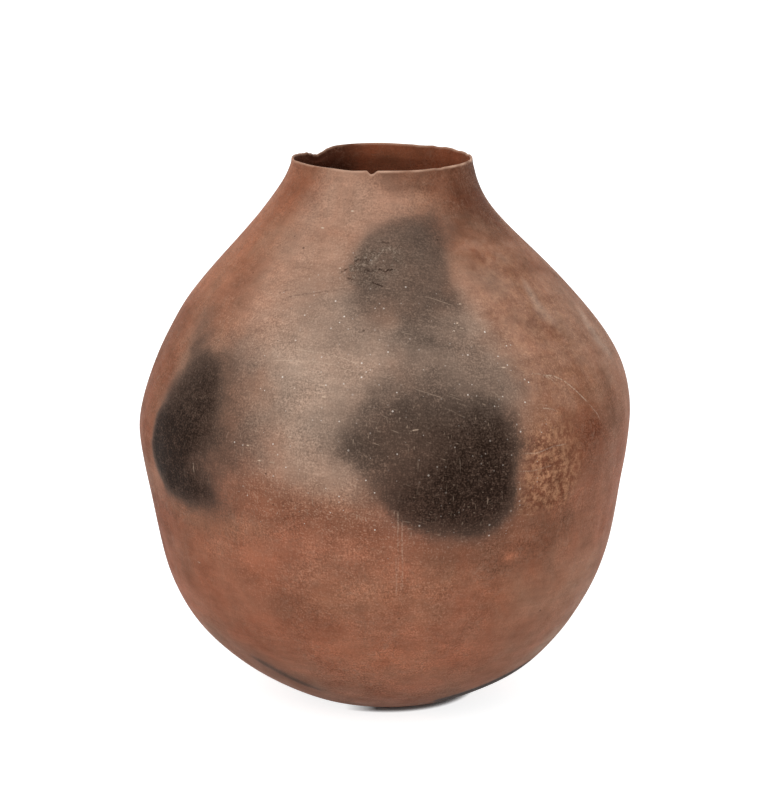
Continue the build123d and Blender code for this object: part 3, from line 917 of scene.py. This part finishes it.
# Smoke, and the painted shade laid on as smoke: a grey veil where it is thin, near black where it is
# dense. Grain, film and flecks break it up
smoke_grain = add_node("MapRange", [texture, 2.1, 3.3, 0.12, -0.28])
smoke_cloud = add_node("MapRange", [film, 0.3, 0.7, 0.16, -0.16])
fine_break = add_node("Math MULTIPLY_ADD", [fleck_share, -0.1, smoke_grain])
smoke_break = add_node("Math ADD", [fine_break, smoke_cloud])
dense_break = add_node("Math MULTIPLY", [smoke_break, smoke_and_shade])
density = add_node("Math MULTIPLY_ADD", [dense_break, smoke_and_shade, smoke_and_shade], use_clamp=True)
veil_share = add_node("MapRange", [density, 0, 0.6])
clouded = add_node("VectorMath SCALE", [flaked, 0.42])
veil = add_node("Mix RGBA", [0.5, clouded, linear("#77665b")])
veiled = add_node("Mix RGBA", [veil_share, flaked, veil])
black_share = add_node("MapRange", [density, 0.3])
sooted = add_node("Mix RGBA", [black_share, veiled, linear("#281b14")])

scratched = add_node("Mix RGBA", [scratch_light, sooted, linear("#d4b9a2")])

# Grit: grains of pale temper cut by the burnishing, and dark pits where others fell out. Half a
# millimetre and up, drawn a little larger
grit_cells = add_node(
    "TexVoronoi", {"Vector": where, "Scale": pattern_scale(3.2), "Randomness": 1.0}
).node
grit_draw = add_node("SeparateColor", {"Color": grit_cells.outputs["Color"]}).node
grit_size = add_node("MapRange", [grit_draw.outputs["Red"], 0.66, 0.95, 0.0, 0.31])
grit_shown = add_node("Math MULTIPLY", [grit_size, grit])
grit_edge = add_node("Math SUBTRACT", [grit_shown, grit_cells.outputs["Distance"]])
grit_cut = add_node("MapRange", [grit_edge, 0.0, 0.08, 0, 1.1])
grit_clean = add_node("MapRange", [smoke_and_shade, 0.2, 1, 1.0, 0.17])
grit_white = add_node("MapRange", [grit_draw.outputs["Blue"], 0.2, 0.9, 0.1, 1.0])
grit_pale = add_node("Math MULTIPLY", [grit_clean, grit_white])
grit_share = add_node("Math MULTIPLY", [grit_cut, grit_pale], use_clamp=True)
gritty = add_node("Mix RGBA", [grit_share, scratched, linear("#f0e2d6")])
pit_cells = add_node(
    "TexVoronoi", {"Vector": where, "Scale": pattern_scale(12), "Randomness": 1.0}
).node
pit_draw = add_node("SeparateColor", {"Color": pit_cells.outputs["Color"]}).node
pit_size = add_node("MapRange", [pit_draw.outputs["Green"], 0.5, 1.0, 0.0, 0.09])
pit_edge = add_node("Math SUBTRACT", [pit_size, pit_cells.outputs["Distance"]])
pit_share = add_node("MapRange", [pit_edge, 0.0, 0.03, 0, 0.55])
crack_far = add_node("Math ABSOLUTE", [crack_off])
crack_core = add_node("MapRange", [crack_far, 0.2, 1.1, 1, 0])
crack_broken = add_node("MapRange", [texture, 3.3, 2.25])
crack_line = add_node("Math MULTIPLY", [crack_core, crack_broken])
hollow_share = add_node("Math MULTIPLY_ADD", [crack_line, crack, pit_share], use_clamp=True)
# Bared clay in the spalled patch is paler and rougher than the smoked skin round it
spall_share = add_node("Math MULTIPLY", [spall, scale_light])
spall_stipple = add_node("MapRange", [grain, 0.4, 0.6])
spall_colour = add_node("Mix RGBA", [spall_stipple, linear("#6a584b"), linear("#a18d7d")])
spall_mix = add_node("Math MULTIPLY", [spall_share, 0.85])
bared = add_node("Mix RGBA", [spall_mix, gritty, spall_colour])
hollowed = add_node("Mix RGBA", [hollow_share, bared, linear("#2e1c14")])
finished = add_node("Mix RGBA", [lip_wear, hollowed, linear(WORN_LIP)])
clay_tree.links.new(finished, clay_shader.inputs["Base Color"])

# Satin where the pebble pressed hardest, duller between and on the flakes
sheen = add_node("MapRange", [mottle, 0.3, 0.7, 0.62, 0.48])
dulled = add_node("Math MULTIPLY_ADD", [flaking, 0.2, sheen])
clay_tree.links.new(dulled, clay_shader.inputs["Roughness"])
clay_shader.inputs["Specular IOR Level"].default_value = 0.03
# Relief in mm: strokes and grain, flakes, the spalled patch and pits
texture_relief = add_node("Math MULTIPLY", [texture, 0.08])
flake_relief = add_node("Math MULTIPLY", [scale_light, flaking])
scaly_relief = add_node("Math MULTIPLY_ADD", [flake_relief, -0.2, texture_relief])
spall_relief = add_node("Math MULTIPLY_ADD", [spall_share, -0.5, scaly_relief])
pit_relief = add_node("Math MULTIPLY_ADD", [pit_share, -0.6, spall_relief])
relief = add_node("Bump", {"Height": pit_relief, "Distance": MM, "Strength": 1.0})
clay_tree.links.new(relief, clay_shader.inputs["Normal"])

for piece, places in clay_pieces.values():
    piece.data.materials.append(clay)
    positions = np.empty(len(places) * 3)
    piece.data.vertices.foreach_get("co", positions)
    colour, *shares = fire_marks(positions.reshape(-1, 3) / MM, *places.T)
    colour_layer = piece.data.attributes.new("fired_colour", "FLOAT_COLOR", "POINT")
    colour_layer.data.foreach_set("color", colour.ravel())
    for layer_name, share in zip(SKIN_LAYERS, shares):
        layer = piece.data.attributes.new(layer_name, "FLOAT", "POINT")
        layer.data.foreach_set("value", share)

# Floor, light and camera
# A white sweep under an even studio light, brighter from the upper left, seen from a little above the
# rim of the jar.
PHOTO_SIZE = (768, 791)
FOCAL_PIXELS = 3093.0
CAMERA_DISTANCE = 2.4  # m
CAMERA_RISE = np.radians(13.42)
AIM = Vector((0, 0, 0.2346))  # m
SENSOR = 36.0  # mm
SWEEP = 8.0  # m from the middle to each side

floor_mesh = bpy.data.meshes.new("white_sweep")
floor_corners = [(-SWEEP, -SWEEP, 0), (SWEEP, -SWEEP, 0), (SWEEP, SWEEP, 0), (-SWEEP, SWEEP, 0)]
floor_mesh.from_pydata(floor_corners, [], [(0, 1, 2, 3)])
floor = bpy.data.objects.new("white_sweep", floor_mesh)
bpy.context.scene.collection.objects.link(floor)


def seen_directly(tree):
    """1 for rays from the camera and those that a surface reflects or lets through, and 0 for light."""
    path = add_node("LightPath", {}, tree=tree).node.outputs
    shown = add_node("Math MAXIMUM", [path["Is Camera Ray"], path["Is Glossy Ray"]], tree=tree)
    return add_node("Math MAXIMUM", [shown, path["Is Transmission Ray"]], tree=tree)


PAPER_GLOW = 0.82  # brings the lit paper up to white
# Matt white paper, which shows no gloss and takes a soft shadow
sweep_paper = bpy.data.materials.new("white_paper")
sweep_paper.use_nodes = True
sweep_tree = sweep_paper.node_tree
sweep_shader = sweep_tree.nodes["Principled BSDF"]
sweep_shader.inputs["Base Color"].default_value = linear("#d7d7d7")
sweep_shader.inputs["Roughness"].default_value = 0.9
sweep_shader.inputs["Specular IOR Level"].default_value = 0.0
sweep_shader.inputs["Emission Color"].default_value = linear("#ffffff")
# The paper's glow ends where the jar is within a few millimetres of it, a painted contact shadow, so
# the touch stays dark
contact = add_node(
    "AmbientOcclusion", {"Distance": 4.5 * MM}, tree=sweep_tree, samples=8
).node.outputs["AO"]
contact_light = add_node("MapRange", [contact, 0.4, 0.95, 0, PAPER_GLOW], tree=sweep_tree)
# Painted light: on the left the paper keeps its glow up to the foot, as if the softbox shone in
# under the bowl
sweep_place = add_node("TexCoord", {}, tree=sweep_tree).node
sweep_axes = add_node("SeparateXYZ", {"Vector": sweep_place.outputs["Object"]}, tree=sweep_tree).node
painted_light_left = add_node(
    "MapRange", [sweep_axes.outputs["X"], -30 * MM, -6 * MM, PAPER_GLOW, 0], tree=sweep_tree
)
touch_light = add_node("Math MAXIMUM", [contact_light, painted_light_left], tree=sweep_tree)
sweep_glow = add_node("Math MULTIPLY", [seen_directly(sweep_tree), touch_light], tree=sweep_tree)
sweep_tree.links.new(sweep_glow, sweep_shader.inputs["Emission Strength"])
floor_mesh.materials.append(sweep_paper)

ROOM_LIGHT = 0.8
world = bpy.data.worlds.new("white_studio")
bpy.context.scene.world = world
world.use_nodes = True
world_tree = world.node_tree
world_strength = add_node(
    "MapRange", [seen_directly(world_tree), 0, 1, ROOM_LIGHT, 1.0], tree=world_tree
)
background = world_tree.nodes["Background"]
background.inputs["Color"].default_value = linear("#ffffff")
world_tree.links.new(world_strength, background.inputs["Strength"])

softbox_light = bpy.data.lights.new("softbox", "AREA")
softbox_light.shape = "SQUARE"
softbox_light.size = 1.6
softbox_light.energy = 14.0
softbox = bpy.data.objects.new("softbox", softbox_light)
bpy.context.scene.collection.objects.link(softbox)
softbox.location = (-0.8, -1.9, 2.2)
softbox.rotation_euler = (AIM - softbox.location).to_track_quat("-Z", "Y").to_euler()

camera_data = bpy.data.cameras.new("camera")
camera_data.sensor_width = SENSOR
camera_data.lens = FOCAL_PIXELS * SENSOR / max(PHOTO_SIZE)
camera = bpy.data.objects.new("camera", camera_data)
bpy.context.scene.collection.objects.link(camera)
towards = Vector((0, np.cos(CAMERA_RISE), -np.sin(CAMERA_RISE)))
camera.location = AIM - towards * CAMERA_DISTANCE
camera.rotation_euler = towards.to_track_quat("-Z", "Y").to_euler()
bpy.context.scene.camera = camera
bpy.context.scene.view_settings.view_transform = "Standard"
